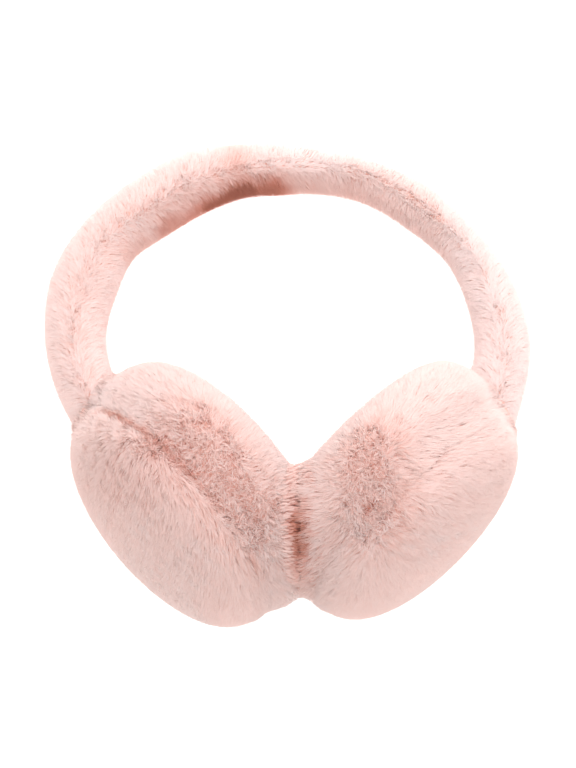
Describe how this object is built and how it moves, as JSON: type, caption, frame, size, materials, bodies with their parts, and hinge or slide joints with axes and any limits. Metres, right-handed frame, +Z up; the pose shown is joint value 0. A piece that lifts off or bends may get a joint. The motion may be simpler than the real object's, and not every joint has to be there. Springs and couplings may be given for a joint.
{
  "type": "plush earmuffs",
  "caption": "Plush winter earmuffs lying closed on a side: a springy fur-sleeved headband bent into an arch, with a thick round fur cup set on each end to cover the ears.",
  "frame": {"origin": "on the table, under the middle of the bounding box of the earmuffs lying on their side", "axes": "+Z up from the table; +Y from the cups towards the headband's crown; +X across the head from the left cup to the right cup, seen from above"},
  "size_m": [0.1892, 0.1892, 0.1031],
  "materials": {
    "plush": "deep soft pile, pale pink tips over a warmer root"
  },
  "bodies": {
    "root": {"headband": "plush", "outer_panel_left": "plush", "ear_panel_left": "plush", "outer_panel_right": "plush", "ear_panel_right": "plush"}
  },
  "joints": []
}
